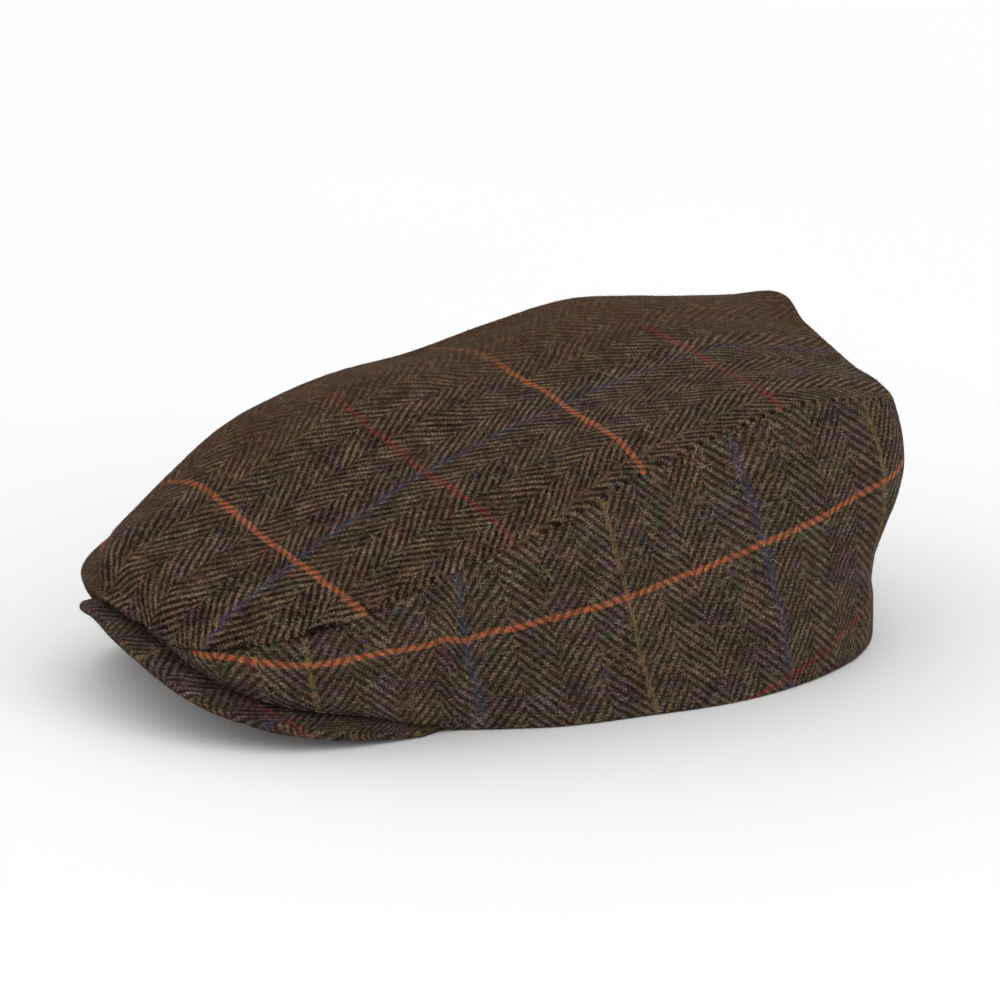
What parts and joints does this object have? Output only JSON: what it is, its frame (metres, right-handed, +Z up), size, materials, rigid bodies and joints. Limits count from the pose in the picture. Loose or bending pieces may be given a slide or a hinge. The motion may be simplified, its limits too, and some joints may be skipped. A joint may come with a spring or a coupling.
{
  "type": "flat cap",
  "caption": "Soft flat cap in brown herringbone cloth with an overcheck: a rounded top panel, side panels sewn at the back and a small stiff peak.",
  "frame": {"origin": "middle of the cap's box, on the surface that its rim rests on", "axes": "+Z up, +X towards the wearer's left, +Y towards the back, so the peak points along -Y"},
  "size_m": [0.169, 0.2706, 0.0952],
  "materials": {
    "cloth": "matte",
    "peak_cloth": "matte"
  },
  "bodies": {
    "root": {"top_panel": "cloth", "side_panel_left": "cloth", "side_panel_right": "cloth", "peak": "peak_cloth"}
  },
  "joints": []
}
